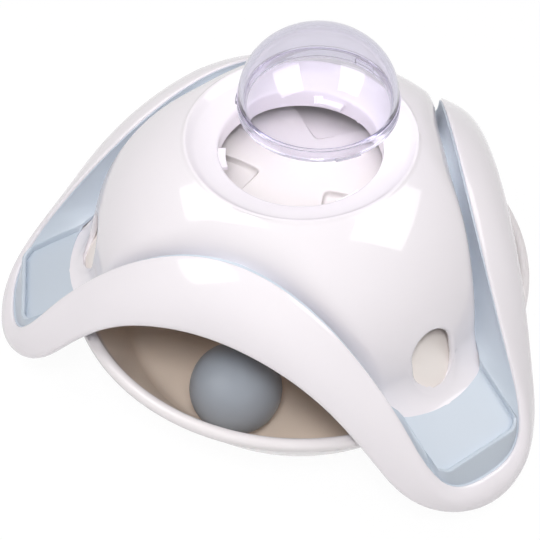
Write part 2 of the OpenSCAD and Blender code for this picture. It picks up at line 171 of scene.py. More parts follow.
innerPlastic = mouldedPlastic("innerPlastic", innerLook)
coverPlastic = mouldedPlastic("coverPlastic", coverLook)

# painted shade: the bowl's inside below its rim is painted warm beige (low) for the shade in the bowl; its
# rim, outside and underside stay pale white (high)
bowlLook = {
    "high": (0.915, 0.870, 0.880), "low": (0.995, 0.845, 0.720), "turn": (0.0400, 0.0465),
    "wallFoot": (0.0654, 0.0662), "wallLean": 0.565, "floor": (0.0122, 0.0117),
    "skinScale": 900, "skinDetail": 2, "skinDepth": 0.06, "rough": (0.16, 0.26), "ior": 1.50,
}
# painted shade: the spreader's top under the hole is painted darker (high) than its lower slopes (low)
spreaderLook = {
    "high": (0.770, 0.730, 0.720), "low": (0.930, 0.868, 0.830), "turn": (0.0860, 0.0960),
    "skinScale": 900, "skinDetail": 2, "skinDepth": 0.08, "rough": (0.20, 0.30), "ior": 1.50,
}


def paleOutside(nodes, links, place, height, pale, look):
    # the bowl's leaning wall parts its inside, painted a warm shade, from its pale outside and underside
    flat = nodes.new("ShaderNodeVectorMath")
    flat.operation = "MULTIPLY"
    flat.inputs[1].default_value = (1, 1, 0)
    links.new(place, flat.inputs[0])
    reach = nodes.new("ShaderNodeVectorMath")
    reach.operation = "LENGTH"
    links.new(flat.outputs["Vector"], reach.inputs[0])
    lean = joinValues(nodes, links, "MULTIPLY", height, look["wallLean"])
    beyond = joinValues(nodes, links, "SUBTRACT", reach.outputs["Value"], lean)
    outside = spanBetween(nodes, links, beyond, look["wallFoot"])
    below = spanBetween(nodes, links, height, look["floor"])
    return joinValues(nodes, links, "MAXIMUM", joinValues(nodes, links, "MAXIMUM", pale, outside), below)


def paintedShadePlastic(name, look):
    finish, nodes, links, shader = newFinish(name)
    coords = nodes.new("ShaderNodeTexCoord")
    axes = nodes.new("ShaderNodeSeparateXYZ")
    links.new(coords.outputs["Object"], axes.inputs["Vector"])
    pale = spanBetween(nodes, links, axes.outputs["Z"], look["turn"])  # painted shade by height: the bowl warm below and pale at the rim, the spreader darker on top
    if "wallFoot" in look:
        pale = paleOutside(nodes, links, coords.outputs["Object"], axes.outputs["Z"], pale, look)
    colour = rampBetween(nodes, links, pale, (0, 1), look["low"], look["high"])
    links.new(colour, shader.inputs["Base Color"])
    addSkin(nodes, links, shader, coords, look)
    return finish


bowlPaintedShade = paintedShadePlastic("bowlPaintedShade", bowlLook)
spreaderPaintedShade = paintedShadePlastic("spreaderPaintedShade", spreaderLook)

steelLook = {
    "tone": (0.50, 0.51, 0.53), "shade": (0.40, 0.41, 0.43), "stops": (0.3, 0.7),
    "grain": 700, "stretch": (1, 1, 8), "rough": (0.24, 0.40),
}


def steelFinish():
    finish, nodes, links, shader = newFinish("plainSteel")
    coords = nodes.new("ShaderNodeTexCoord")
    turned = nodes.new("ShaderNodeMapping")  # stretched into rings of turning marks
    turned.inputs["Scale"].default_value = steelLook["stretch"]
    links.new(coords.outputs["Object"], turned.inputs["Vector"])
    grain = nodes.new("ShaderNodeTexNoise")
    grain.inputs["Scale"].default_value = steelLook["grain"]
    links.new(turned.outputs["Vector"], grain.inputs["Vector"])
    shade = grain.outputs["Fac"]
    colour = rampBetween(nodes, links, shade, steelLook["stops"], steelLook["shade"], steelLook["tone"])
    links.new(colour, shader.inputs["Base Color"])
    rough = spanBetween(nodes, links, shade, (0, 1), steelLook["rough"])
    links.new(rough, shader.inputs["Roughness"])
    shader.inputs["Metallic"].default_value = 1.0
    return finish


plainSteel = steelFinish()

clearLook = {
    "tint": (0.985, 0.981, 0.983), "shade": (0.945, 0.935, 0.945), "rough": 0.02, "ior": 1.47,
    "depth": (0.800, 0.788, 0.862), "dense": 380.0,
}


def clearFinish():
    finish, nodes, links, shader = newFinish("clearPlastic")
    shader.inputs["Base Color"].default_value = (*clearLook["tint"], 1)
    shader.inputs["Roughness"].default_value = clearLook["rough"]
    shader.inputs["IOR"].default_value = clearLook["ior"]
    shader.inputs["Transmission Weight"].default_value = 1.0
    path = nodes.new("ShaderNodeLightPath")  # lamps shine through to the neck below
    through = nodes.new("ShaderNodeBsdfTransparent")
    through.inputs["Color"].default_value = (*clearLook["shade"], 1)
    blend = nodes.new("ShaderNodeMixShader")
    links.new(path.outputs["Is Shadow Ray"], blend.inputs["Fac"])
    links.new(shader.outputs["BSDF"], blend.inputs[1])
    links.new(through.outputs["BSDF"], blend.inputs[2])
    links.new(blend.outputs["Shader"], nodes["Material Output"].inputs["Surface"])
    depth = nodes.new("ShaderNodeVolumeAbsorption")  # lilac where the view runs along the wall
    depth.inputs["Color"].default_value = (*clearLook["depth"], 1)
    depth.inputs["Density"].default_value = clearLook["dense"]
    links.new(depth.outputs["Volume"], nodes["Material Output"].inputs["Volume"])
    return finish


clearPlastic = clearFinish()
print("finishes made")


# lobed outlines, in millimetres and degrees
lobes = {"count": 3, "firstTip": -90.0}
brimEdge = {"mid": 60.8, "side": 248.0, "tip": 124.2, "front": 121.3, "blend": 8.0}
skirtEdge = {"mid": 80.9, "side": 940.0, "tip": 126.5}
domeEdge = {"mid": 57.4, "side": 340.0, "tip": 103.0}
halfLobe = 180 / lobes["count"]
lobes["tips"] = [lobes["firstTip"] + 2 * halfLobe * k for k in range(lobes["count"])]


def halfTurn(angle):
    return (angle + 180) % 360 - 180


def foldOf(angle):
    # degrees from the nearest tip
    turn = (angle - lobes["firstTip"]) % (2 * halfLobe)
    return min(turn, 2 * halfLobe - turn)


def lobedRadius(edge, angle):
    far, side, tip = edge["mid"] + edge["side"], edge["side"], edge["tip"]
    tipRound = (tip * tip - far * tip + far * far - side * side) / (2 * side + 2 * tip - far)
    centre = Vector((tip - tipRound, 0))
    sideCentre = far * Vector((math.cos(math.radians(halfLobe)), math.sin(math.radians(halfLobe))))
    tangent = centre + (sideCentre - centre) * tipRound / (side + tipRound)
    fold = math.radians(foldOf(angle))
    if fold < math.atan2(tangent.y, tangent.x):
        return centre.x * math.cos(fold) + math.sqrt(tipRound**2 - (centre.x * math.sin(fold)) ** 2)
    away = math.radians(halfLobe) - fold
    return far * math.cos(away) - math.sqrt(side**2 - (far * math.sin(away)) ** 2)


def softMin(first, second, width):
    near = max(width - abs(first - second), 0.0) / width
    return min(first, second) - near * near * width / 4


def brimRadius(angle):
    front = brimEdge["front"] / math.cos(math.radians(foldOf(angle)))
    return softMin(lobedRadius(brimEdge, angle), front, brimEdge["blend"])


stationGap = 0.2  # degrees kept free beside a corner
weldGap = 0.000002  # metres
tiny = 0.001  # nothing is divided by less


def stationsRound(perHalf, crowding, corners=()):
    folds = [halfLobe * (step / perHalf) ** crowding for step in range(perHalf + 1)]
    folds = [f for f in folds if all(abs(f - c) > stationGap for c in corners)] + list(corners)
    turns = sorted(set(folds) | {-f for f in folds if f < halfLobe})
    return sorted(halfTurn(tip + turn) for tip in lobes["tips"] for turn in turns)


def growShell(stations, sectionAt, bridged=True):
    # a ring is grown step by step along its section, and its two ends are bridged
    bm = bmesh.new()
    station = bm.verts.layers.int.new("station")
    level = bm.verts.layers.int.new("level")
    sections = [sectionAt(angle) for angle in stations]

    def lay(ring, step):
        for vert in ring:
            angle = math.radians(stations[vert[station]])
            radius, height = sections[vert[station]][step]
            vert[level] = step
            vert.co = Vector((radius * math.cos(angle), radius * math.sin(angle), height)) * mm

    ring = bmesh.ops.create_circle(bm, segments=len(stations), radius=1)["verts"]
    for index, vert in enumerate(sorted(ring, key=lambda v: math.atan2(v.co.y, v.co.x))):
        vert[station] = index
    lay(ring, 0)
    firstEdges = bm.edges[:]
    edges = firstEdges
    for step in range(1, len(sections[0])):
        grown = bmesh.ops.extrude_edge_only(bm, edges=edges)["geom"]
        lay([g for g in grown if isinstance(g, bmesh.types.BMVert)], step)
        edges = [g for g in grown if isinstance(g, bmesh.types.BMEdge) and g.is_boundary]
    if bridged:
        bmesh.ops.bridge_loops(bm, edges=firstEdges + edges)
    return bm


def turnProfile(bm, profile, steps, sweep=360.0, closed=True):
    # a profile of radius and height is spun round the toy's axis
    points = [bm.verts.new((radius * mm, 0, height * mm)) for radius, height in profile]
    edges = [bm.edges.new(pair) for pair in zip(points, points[1:])]
    if closed:
        edges.append(bm.edges.new((points[-1], points[0])))
    full = sweep == 360.0
    made = points + edges
    if not full:  # a part turn starts from a face, so that its ends are closed
        made = [bm.faces.new(points)] + made
    bmesh.ops.spin(
        bm, geom=made, cent=(0, 0, 0), axis=(0, 0, 1), angle=math.radians(sweep),
        steps=steps, use_merge=full, use_duplicate=False,
    )


def makePiece(bm, name, material, body, nodes, crease=32.0):
    bmesh.ops.remove_doubles(bm, verts=bm.verts, dist=weldGap)
    bmesh.ops.recalc_face_normals(bm, faces=bm.faces)
    mesh = bpy.data.meshes.new(name)
    bm.to_mesh(mesh)
    bm.free()
    mesh.shade_smooth()
    mesh.set_sharp_from_angle(angle=math.radians(crease))
    mesh.materials.append(material)
    piece = bpy.data.objects.new(name, mesh)
    bpy.context.scene.collection.objects.link(piece)
    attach(piece, body)
    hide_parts(*nodes)
    print("made", name, len(mesh.polygons), "faces")


def arcPoints(centre, radius, first, last, steps):
    turns = [math.radians(first + (last - first) * i / steps) for i in range(steps + 1)]
    return [(centre[0] + radius * math.cos(t), centre[1] + radius * math.sin(t)) for t in turns]


# white skirt with its saddle-shaped brim
skirt = {
    "brimMid": 107.2, "brimTip": 28.9, "crown": 317.0,  # heights of the brim's inner edge, and its arc
    "lowMid": 85.6, "lowTip": 23.4, "ease": 2.6,  # heights of the lower edge
    "thick": 2.6, "edgeThick": 1.3, "thicken": 2.5, "swellMid": 3.2, "swellTip": 1.8, "shoulder": 0.52,
    "faceSteps": 16, "edgeSteps": 5, "stations": (48, 1.4),
}


def brimHeight(radius):
    start = Vector((brimEdge["mid"], skirt["brimMid"]))
    end = Vector((brimEdge["tip"], skirt["brimTip"]))
    chord = end - start
    drop = math.sqrt(skirt["crown"] ** 2 - (chord.length / 2) ** 2)
    centre = (start + end) / 2 + Vector((chord.y, -chord.x)) / chord.length * drop
    return centre.y + math.sqrt(skirt["crown"] ** 2 - (radius - centre.x) ** 2)


def skirtHeight(radius):
    share = (radius - skirtEdge["mid"]) / (skirtEdge["tip"] - skirtEdge["mid"])
    wave = skirt["ease"] * math.sin(2 * math.pi * share)
    return skirt["lowMid"] + (skirt["lowTip"] - skirt["lowMid"]) * share + wave


def brimThick(share):
    return skirt["edgeThick"] + (skirt["thick"] - skirt["edgeThick"]) * min(skirt["thicken"] * share, 1.0)


def skirtSection(angle):
    inner, outer = brimRadius(angle), lobedRadius(skirtEdge, angle)
    top, low = Vector((inner, brimHeight(inner))), Vector((outer, skirtHeight(outer)))
    along = (low - top).normalized()
    top, low = top + along * skirt["edgeThick"] / 2, low - along * skirt["thick"] / 2
    swell = skirt["swellTip"] + (skirt["swellMid"] - skirt["swellTip"]) * foldOf(angle) / halfLobe
    turn = top + (low - top) * skirt["shoulder"] + Vector((-along.y, along.x)) * 2 * swell
    face, under, normals = [], [], []
    for step in range(skirt["faceSteps"] + 1):
        u = step / skirt["faceSteps"]
        point = top * (1 - u) ** 2 + turn * 2 * u * (1 - u) + low * u**2
        slope = ((turn - top) * (1 - u) + (low - turn) * u).normalized()
        normal = Vector((-slope.y, slope.x))
        normals.append(normal)
        face.append(point)
        under.append(point - normal * brimThick(u))

    def roundEnd(point, normal, sign, half):
        middle, out = point - normal * half, Vector((normal.y, -normal.x)) * sign
        turns = [math.pi * i / skirt["edgeSteps"] for i in range(1, skirt["edgeSteps"])]
        return [middle + normal * half * math.cos(t) + out * half * math.sin(t) for t in turns]

    lowEnd = roundEnd(face[-1], normals[-1], 1, skirt["thick"] / 2)
    topEnd = roundEnd(face[0], normals[0], -1, skirt["edgeThick"] / 2)
    return [tuple(p) for p in face + lowEnd + under[::-1] + topEnd[::-1]]


skirtMesh = growShell(stationsRound(*skirt["stations"]), skirtSection)
makePiece(skirtMesh, "brimSkirt", whitePlastic, "body", ["outer_skirt"], crease=60)

# white dome with its collar, neck and outlets
dome = {
    "round": 67.3, "centre": (17.6, 55.5), "wall": 2.4, "foot": 95.7, "footHeight": 50.8, "flare": 20.0,
    "seat": 49.85, "footStep": 0.9, "footEdge": 0.2, "wallLow": 56.5, "wallClear": 76.0, "wallEase": 4.0,
    "tipRound": 0.3, "edgeRound": 6.5, "archRound": 9.5,  # roundings towards the outline,
    "edgeTurn": (10.5, 17.0), "archTurn": (24.0, 50.0),  # and the degrees from a tip at which they start
    "collar": 45.0, "hole": 31.65, "collarDrop": 4.6, "dishSag": 0.7, "dishSteps": 8,
    "ridgeHigh": 0.55, "ridgeStep": 0.35, "ridgeSteps": 7,
    "brink": ((0.9, 0.05), (0.3, -0.25), (0.0, -0.9)),  # out and up from the hole's edge
    "neckDeep": 9.0, "neckWall": 2.0, "neckStart": 3.0, "neckEdge": 0.4,
    "arcSteps": 54, "flareSteps": 14, "stations": (50, 1.35),
}
outlet = {
    "height": 67.5, "wide": 18.0, "tall": 24.0, "edge": 1.6, "edgeSteps": 5, "inner": 0.4,
    "lip": 0.5, "lipSpread": 2.6, "lipTop": 0.25, "lipRise": (-8.0, 10.0), "lipFold": 20,
    "cutFold": 12, "cutInset": 0.25, "rimMix": (0.8, 0.2), "relaxRings": 3, "relaxRounds": 8,
}
outletFlat = (outlet["tall"] - outlet["wide"]) / 2  # half of an oval's straight side
outletBend = math.pi * outlet["wide"] / 2
outletRound = 4 * outletFlat + 2 * outletBend


def flareCentre():
    # centre of the hollow arc that touches the dome's arc and ends at the foot
    middle = Vector(dome["centre"])
    foot = Vector((dome["foot"], dome["footHeight"])) - middle
    far = dome["round"] + dome["flare"]
    along = (far**2 - dome["flare"] ** 2 + foot.length**2) / (2 * foot.length)
    aside = math.sqrt(far**2 - along**2)
    return middle + (foot * along + Vector((-foot.y, foot.x)) * aside) / foot.length


flareMiddle = flareCentre()
flareTurn = math.atan2(flareMiddle.y - dome["centre"][1], flareMiddle.x - dome["centre"][0])
flareStart = dome["centre"][1] + dome["round"] * math.sin(flareTurn)
collarOut = dome["collar"] - dome["centre"][0]
collarHeight = dome["centre"][1] + math.sqrt(dome["round"] ** 2 - collarOut**2)
holeHeight = collarHeight - dome["collarDrop"]


def domeRadius(height):
    if height >= flareStart:
        return dome["centre"][0] + math.sqrt(dome["round"] ** 2 - (height - dome["centre"][1]) ** 2)
    return flareMiddle.x - math.sqrt(dome["flare"] ** 2 - (flareMiddle.y - height) ** 2)


def ease(value, first, last):
    share = min(max((value - first) / (last - first), 0.0), 1.0)
    return share * share * (3 - 2 * share)


def outletReach(across, height):
    # distance from the outlet's edge, below zero inside it
    rise = max(abs(height - outlet["height"]) - outletFlat, 0.0)
    return math.hypot(across, rise) - outlet["wide"] / 2


def domeSkin(angle, height):
    fold = foldOf(angle)
    outline = min(lobedRadius(domeEdge, angle), dome["foot"])
    blend = (dome["tipRound"] + (dome["edgeRound"] - dome["tipRound"]) * ease(fold, *dome["edgeTurn"])
             + dome["archRound"] * ease(fold, *dome["archTurn"]))
    radius = softMin(domeRadius(height), outline, blend)
    if fold < outlet["lipFold"]:  # the lip swells below the outlet
        reach = outletReach(radius * math.sin(math.radians(fold)), height)
        low = ease(outlet["height"] - height, *outlet["lipRise"])
        swell = outlet["lip"] * (outlet["lipTop"] + (1 - outlet["lipTop"]) * low)
        radius += swell * math.exp(-((max(reach, 0.0) / outlet["lipSpread"]) ** 2))
    return radius


firstTurn = math.acos(collarOut / dome["round"])
footTurn = math.atan2(dome["footHeight"] - flareMiddle.y, dome["foot"] - flareMiddle.x) + 2 * math.pi
arcShares = [i / dome["arcSteps"] for i in range(dome["arcSteps"] + 1)]
flareShares = [i / dome["flareSteps"] for i in range(1, dome["flareSteps"] + 1)]
arcTurns = [firstTurn + (flareTurn - firstTurn) * share for share in arcShares]
flareTurns = [math.pi + flareTurn + (footTurn - math.pi - flareTurn) * share for share in flareShares]
domeHeights = [dome["centre"][1] + dome["round"] * math.sin(turn) for turn in arcTurns]
domeHeights += [flareMiddle.y + dome["flare"] * math.sin(turn) for turn in flareTurns]
domeLevels = len(domeHeights)
footBlend = 75.0  # above this height the rings lie level


def domeOutside(angle):
    outline = lobedRadius(domeEdge, angle)
    lift = ease(dome["wallClear"] - outline, 0.0, dome["wallEase"])
    low = dome["footHeight"] + (dome["wallLow"] - dome["footHeight"]) * lift
    points = []
    for height in domeHeights:
        if height < footBlend:
            height = footBlend - (footBlend - height) * (footBlend - low) / (footBlend - dome["footHeight"])
        points.append(Vector((domeSkin(angle, height), height)))
    return points


def domeSection(angle):
    outside = domeOutside(angle)
    inside = []
    for index, point in enumerate(outside):
        before, after = outside[max(index - 1, 0)], outside[min(index + 1, len(outside) - 1)]
        slope = (after - before).normalized()
        inside.append(point + Vector((slope.y, -slope.x)) * dome["wall"])
    foot = outside[-1]
    inside[-1] = Vector((foot.x - dome["wall"], min(inside[-1].y, foot.y - dome["footEdge"])))
    inside = [Vector((p.x, max(p.y, dome["seat"]))) for p in inside]
    hole, collar, steps = dome["hole"], dome["collar"], dome["dishSteps"]
    ridge = []
    for i in range(1, dome["ridgeSteps"] - 1):
        rise = dome["ridgeHigh"] * math.sin(math.pi * (i + 1) / dome["ridgeSteps"])
        ridge.append((collar - dome["ridgeStep"] * i, collarHeight + rise))
    dish = []
    for i in range(2, steps):
        fall = dome["collarDrop"] * (i / steps)
        sag = dome["dishSag"] * math.sin(math.pi * i / steps)
        dish.append((collar - (collar - hole) * i / steps, collarHeight - fall - sag))
    brink = [(hole + out, holeHeight + up) for out, up in dome["brink"]]
    neckLow, neckOut, edge = holeHeight - dome["neckDeep"], hole + dome["neckWall"], dome["neckEdge"]
    neck = [(hole, holeHeight - dome["neckStart"]), (hole, neckLow + edge), (hole + edge, neckLow),
            (neckOut - edge, neckLow), (neckOut, neckLow + edge), (neckOut, holeHeight - dome["wall"])]
    base = [(foot.x, max(foot.y - dome["footStep"], dome["seat"]))]
    top = ridge + dish + brink + neck
    return [tuple(p) for p in inside[::-1]] + top[::-1] + [tuple(p) for p in outside] + base


domeStations = stationsRound(*dome["stations"])


def ovalShare(across, rise):
    # place round the outlet's oval, from the low end of its right side
    if abs(rise) <= outletFlat:
        length = rise + outletFlat if across > 0 else 3 * outletFlat + outletBend - rise
    elif rise > 0:
        length = 2 * outletFlat + math.atan2(rise - outletFlat, across) / math.pi * outletBend
    else:
        length = 4 * outletFlat + outletBend + math.atan2(-rise - outletFlat, -across) / math.pi * outletBend
    return length / outletRound


def ovalPoint(share, grow):
    length, reach = share % 1 * outletRound, outlet["wide"] / 2 + grow
    sign = 1 if length < 2 * outletFlat + outletBend else -1
    length -= 0 if sign > 0 else 2 * outletFlat + outletBend
    if length < 2 * outletFlat:
        return sign * reach, sign * (length - outletFlat)
    turn = (length - 2 * outletFlat) / outletBend * math.pi
    return sign * reach * math.cos(turn), sign * (outletFlat + reach * math.sin(turn))


def tipNear(vert):
    angle = math.degrees(math.atan2(vert.co.y, vert.co.x))
    return min(lobes["tips"], key=lambda tip: abs(halfTurn(angle - tip)))


def spreadRim(edges, share, tip):
    # the rim's points are shared out along the oval
    turn = math.radians(tip)
    side = Vector((-math.sin(turn), math.cos(turn), 0))
    places = []
    for vert in {v for e in edges for v in e.verts}:
        across, rise = vert.co.dot(side) / mm, vert.co.z / mm - outlet["height"]
        bearing = math.atan2(rise, across) if across > 0 else math.atan2(rise, across) % (2 * math.pi)
        places.append((ovalShare(across, rise), bearing, vert))
    places.sort(key=lambda place: place[:2])  # points level with each other go by their bearing
    count = len(places)
    start = sum(own - index / count for index, (own, _, _) in enumerate(places)) / count
    even, kept = outlet["rimMix"]
    for index, (own, _, vert) in enumerate(places):
        vert[share] = even * (start + index / count) + kept * own


def placeRim(edges, share, tip, grow, depth):
    turn = math.radians(tip)
    for vert in {v for e in edges for v in e.verts}:
        across, rise = ovalPoint(vert[share], grow)
        height = outlet["height"] + rise
        radius = domeSkin(tip, height) - depth
        along = math.sqrt(radius**2 - across**2)
        vert.co = Vector((along * math.cos(turn) - across * math.sin(turn),
                          along * math.sin(turn) + across * math.cos(turn), height)) * mm


def relaxSkin(bm, rim):
    # the skin's points near an outlet settle between their neighbours, always in the same order
    station, level = bm.verts.layers.int["station"], bm.verts.layers.int["level"]
    near = set(rim)
    for _ in range(outlet["relaxRings"]):
        near |= {e.other_vert(v) for v in near for e in v.link_edges}
    settling = sorted(near - rim, key=lambda vert: (vert[level], vert[station]))
    for _ in range(outlet["relaxRounds"]):
        for vert in settling:
            mean = sum((e.other_vert(vert).co for e in vert.link_edges), Vector()) / len(vert.link_edges)
            turn, height = math.atan2(mean.y, mean.x), mean.z / mm
            radius = domeSkin(math.degrees(turn), height)
            vert.co = Vector((radius * math.cos(turn), radius * math.sin(turn), height)) * mm


def cutOutlets(bm):
    # cells inside an outlet are removed from both skins, and the rims are drawn to its oval
    share = bm.verts.layers.float.new("share")
    station, level = bm.verts.layers.int["station"], bm.verts.layers.int["level"]
    count = len(domeStations)
    collarLow = (collarHeight - 0.01) * mm
    outerFirst = min(v[level] for v in bm.verts if v[level] >= domeLevels and v.co.z > collarLow)
    cells = set()
    for index, angle in enumerate(domeStations):
        nextAngle = domeStations[(index + 1) % count]
        if max(foldOf(angle), foldOf(nextAngle)) > outlet["cutFold"]:
            continue
        for step in range(domeLevels - 1):
            height = (domeHeights[step] + domeHeights[step + 1]) / 2
            middle = angle + ((nextAngle - angle) % 360) / 2
            across = domeRadius(height) * math.sin(math.radians(foldOf(middle)))
            if outletReach(across, height) < -outlet["cutInset"]:
                cells.add((index, step))
    gone = []
    for face in bm.faces:
        steps, levels = {v[station] for v in face.verts}, sorted({v[level] for v in face.verts})
        if len(steps) != 2 or len(levels) != 2:
            continue
        first = max(steps) if max(steps) - min(steps) > 1 else min(steps)
        if levels[1] < domeLevels:
            step = domeLevels - 1 - levels[1]
        elif levels[0] >= outerFirst:
            step = levels[0] - outerFirst
        else:
            continue
        if (first, step) in cells:
            gone.append(face)
    bmesh.ops.delete(bm, geom=gone, context="FACES")
    for tip in lobes["tips"]:
        rims = [e for e in bm.edges if e.is_boundary and tipNear(e.verts[0]) == tip]
        outer = [e for e in rims if e.verts[0][level] >= outerFirst]
        inner = [e for e in rims if e.verts[0][level] < domeLevels]
        spreadRim(outer, share, tip)
        spreadRim(inner, share, tip)
        placeRim(outer, share, tip, outlet["edge"], 0.0)
        placeRim(inner, share, tip, outlet["inner"], dome["wall"])
        relaxSkin(bm, {v for e in outer for v in e.verts})
        for i in range(1, outlet["edgeSteps"] + 1):  # rounded lip, then the wall of the hole
            grown = bmesh.ops.extrude_edge_only(bm, edges=outer)["geom"]
            outer = [g for g in grown if isinstance(g, bmesh.types.BMEdge) and g.is_boundary]
            turn = i / outlet["edgeSteps"] * math.pi / 2
            grow, depth = outlet["edge"] * (1 - math.sin(turn)), outlet["edge"] * (1 - math.cos(turn))
            placeRim(outer, share, tip, grow, depth)
        bmesh.ops.bridge_loops(bm, edges=outer + inner)


neckRibs = {"reach": 3.0, "drop": 3.4, "high": 1.8, "edge": 0.3, "arc": 20.0, "steps": 16}


def addNeckRibs(bm):
    high = holeHeight - neckRibs["drop"]
    low = high - neckRibs["high"]
    inner, outer = dome["hole"] - neckRibs["reach"], dome["hole"] + dome["neckWall"] / 2
    profile = [(inner, low), (outer, low), (outer, high),
               (inner + neckRibs["edge"], high), (inner, high - neckRibs["edge"])]
    for tip in lobes["tips"]:
        before = set(bm.verts)
        turnProfile(bm, profile, neckRibs["steps"], neckRibs["arc"])
        made = [v for v in bm.verts if v not in before]
        start = math.radians(tip - neckRibs["arc"] / 2)
        bmesh.ops.rotate(bm, verts=made, cent=(0, 0, 0), matrix=Matrix.Rotation(start, 3, "Z"))


domeMesh = growShell(domeStations, domeSection)
cutOutlets(domeMesh)
addNeckRibs(domeMesh)
makePiece(domeMesh, "hopperDome", whitePlastic, "body", ["hopper_dome"], crease=40)

# grey-blue track with its three pockets
track = {
    "thick": 1.6, "deep": 10.0, "deepMid": 3.8, "deepTurn": (25.0, 60.0), "tuck": 1.2,
    "gap": 0.1, "topDrop": 0.7, "hem": 1.6, "hemDrop": 0.9,  # its outer edge goes under the brim's
    "pocketHeight": 50.8, "fall": 0.5, "front": 115.2, "half": 19.8,
    "lip": 2.4, "lipWide": 1.7, "lipGap": 0.8, "edge": 0.35,
    "slopeSteps": 12, "floorSteps": 6, "stations": (48, 1.4),
}


def pocketFloor(along):
    return track["pocketHeight"] - track["fall"] * (along - dome["foot"])


def trackSection(angle):
    fold = math.radians(foldOf(angle))
    brim = brimRadius(angle)
    wall, wallTop = brim - skirt["edgeThick"] - track["gap"], brimHeight(brim) - track["topDrop"]
    deep = track["deep"] + (track["deepMid"] - track["deep"]) * ease(foldOf(angle), *track["deepTurn"])
    domeFoot = min(lobedRadius(domeEdge, angle), dome["foot"])
    inner = domeSkin(angle, max(wallTop - deep, pocketFloor(domeFoot * math.cos(fold)))) - track["tuck"]
    front, side = track["front"] / math.cos(fold), track["half"] / max(math.sin(fold), tiny)
    rail = min(front, side, wall - track["lipGap"])
    pocket = rail > inner + track["lipWide"]
    lip = rail if pocket else inner
    lipIn = max(lip - track["lipWide"], inner)
    floorIn = pocketFloor(inner * math.cos(fold)) + (0 if pocket else track["lip"])
    low = pocketFloor(lipIn * math.cos(fold)) if pocket else max(wallTop - deep, floorIn)
    lipTop = low + track["lip"] if pocket else low
    start = floorIn if pocket else low
    edge = track["edge"] if pocket else 0.0
    floor = []
    for i in range(track["floorSteps"] + 1):
        share = i / track["floorSteps"]
        floor.append((inner + (lipIn - inner) * share, start + (low - start) * share))
    lipEdge = [(lipIn, lipTop - edge), (lipIn + edge, lipTop), (lip - edge, lipTop), (lip, lipTop - edge)]
    slope = []
    for i in range(1, track["slopeSteps"] + 1):
        out = rise = i / track["slopeSteps"]
        if wallTop > lipTop:  # hollow where it climbs to the brim
            turn = math.pi / 2 * i / track["slopeSteps"]
            out, rise = math.sin(turn), 1 - math.cos(turn)
        slope.append((lip + (wall - lip) * out, lipTop - edge + (wallTop - lipTop + edge) * rise))
    hem, back = wall + track["hem"], min(wallTop, low) - 2 * track["thick"]
    under = [(hem, wallTop - track["hemDrop"]), (hem, back),
             (lipIn, low - track["thick"]), (inner, start - track["thick"])]
    return floor + lipEdge + slope + under


# stations at the pockets' front corners and where their sides leave the dome
pocketSide = math.degrees(math.asin(track["half"] / (dome["foot"] - track["tuck"] + track["lipWide"])))
trackCorners = (
    math.degrees(math.atan(track["half"] / track["front"])), pocketSide - 0.01, pocketSide + stationGap,
)
trackMesh = growShell(stationsRound(*track["stations"], trackCorners), trackSection)
makePiece(trackMesh, "trackLiner", greyBluePlastic, "body", ["track_liner"], crease=38)

# hopper floor with its three-armed spreader
spreader = {
    "peak": 99.0, "rim": 55.6, "reach": 87.6, "bow": 2.5, "thick": 2.2, "gap": 0.35, "edge": 1.2, "foot": 2.5,
    "top": 101.5, "crown": 150.0, "notch": 16.5, "notchHalf": 42.0, "notchRound": 4.0,
    "topSteps": 12, "edgeSteps": 4, "wallSteps": 6, "slopeSteps": 10, "underParts": (1.0, 0.6, 0.3, 0.0),
    "stations": (72, 1.0),
}
shrunk = dome["wall"] + spreader["gap"]
hopperEdge = {
    "mid": domeEdge["mid"] - shrunk, "side": domeEdge["side"] + shrunk, "tip": domeEdge["tip"] - shrunk,
}
noNotch = 1000.0  # further out than anything reaches


def slopeHeight(radius):
    fall = (radius / spreader["reach"]) ** spreader["bow"]
    return spreader["peak"] - (spreader["peak"] - spreader["rim"]) * fall


def topHeight(radius):
    return spreader["top"] - spreader["crown"] + math.sqrt(spreader["crown"] ** 2 - radius**2)


def notchReach(angle):
    # distance from the axis to the round-pointed notch over an outlet; an arm has none
    half, fold = math.radians(spreader["notchHalf"]), math.radians(foldOf(angle))
    lean = math.tan(half)
    point = spreader["notch"] - spreader["notchRound"] * (1 / math.sin(half) - 1)
    soft = (spreader["notch"] - point) * lean
    square = (math.cos(fold) * lean) ** 2 - math.sin(fold) ** 2
    if square < tiny:
        return noNotch
    middle = math.cos(fold) * point * lean**2
    return (middle + math.sqrt(middle**2 - square * ((point * lean) ** 2 - soft**2))) / square


def spreaderSection(angle):
    reach = min(lobedRadius(hopperEdge, angle), spreader["reach"])
    brink = min(notchReach(angle), reach)
    edge, steps = spreader["edge"], spreader["topSteps"]
    top = [(r, topHeight(r)) for r in ((brink - edge) * i / steps for i in range(steps + 1))]
    high = topHeight(brink - edge) - edge
    brow = arcPoints((brink - edge, high), edge, 90, 0, spreader["edgeSteps"])[1:]
    foot = min(spreader["foot"], reach - brink)
    out = brink + foot
    low = slopeHeight(out) + foot
    wallShares = [i / spreader["wallSteps"] for i in range(1, spreader["wallSteps"] + 1)]
    wall = [(brink, high + (low - high) * share) for share in wallShares]
    cove = arcPoints((out, low), foot, 180, 270, spreader["edgeSteps"])[1:]
    slopeShares = [i / spreader["slopeSteps"] for i in range(1, spreader["slopeSteps"] + 1)]
    slope = [(r, slopeHeight(r)) for r in (out + (reach - out) * share for share in slopeShares)]
    underneath = [reach * part for part in spreader["underParts"]]
    under = [(r, slopeHeight(r) - spreader["thick"]) for r in underneath]
    return top + brow + wall + cove + slope + under


spreaderMesh = growShell(stationsRound(*spreader["stations"]), spreaderSection, bridged=False)
makePiece(spreaderMesh, "foodSpreader", spreaderPaintedShade, "body", ["hopper_floor"], crease=40)

